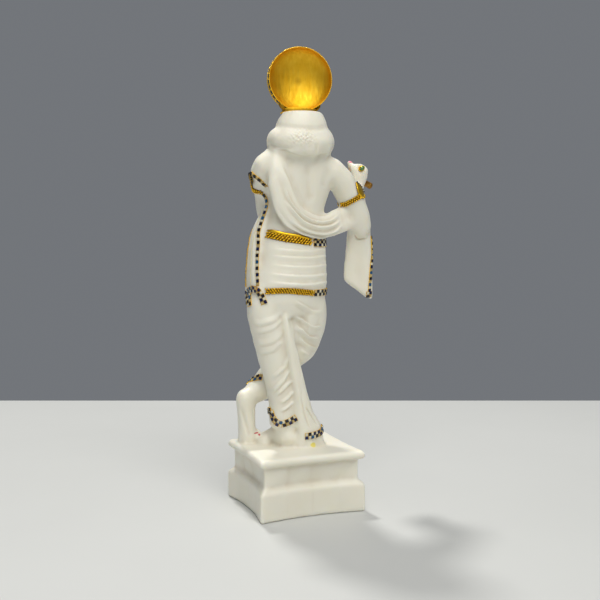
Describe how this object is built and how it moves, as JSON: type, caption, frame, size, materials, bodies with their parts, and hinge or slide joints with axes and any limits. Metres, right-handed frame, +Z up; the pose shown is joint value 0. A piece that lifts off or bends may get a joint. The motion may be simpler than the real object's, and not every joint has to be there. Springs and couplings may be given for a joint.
{
  "type": "krishna figure",
  "caption": "Standing flute player with crossed ankles, cast in marble resin in one with its stepped plinth, with a gold crown dish, gold braid and rows of small stones.",
  "frame": {"origin": "centre of the plinth's flat underside", "axes": "+Z up, the figure faces -Y, +X is its own left"},
  "size_m": [0.1073, 0.0717, 0.3056],
  "materials": {
    "marble_resin": "polished cast marble resin, warm white",
    "gold": "bright gold plating, browner in its hollows",
    "copper_brown": "copper brown metallic paint",
    "stones": "small square glass stones, black and navy with gold between",
    "green_gem": "polished green oval stone"
  },
  "bodies": {
    "root": {"figure": "marble_resin", "crown": "gold", "flute": "copper_brown", "hand_bezel": "gold", "hand_gem": "green_gem", "waist_braid": "gold", "waist_stones": "stones", "hip_braid": "gold", "hip_stones": "stones", "right_armlet": "gold", "left_armlet": "gold", "left_shoulder_stones": "stones", "left_edge_stones": "stones", "left_edge_braid": "gold", "left_hem_stones": "stones", "right_edge_stones": "stones", "left_leg_hem_stones": "stones", "right_leg_hem_stones": "stones", "tail_stones": "stones"}
  },
  "joints": []
}
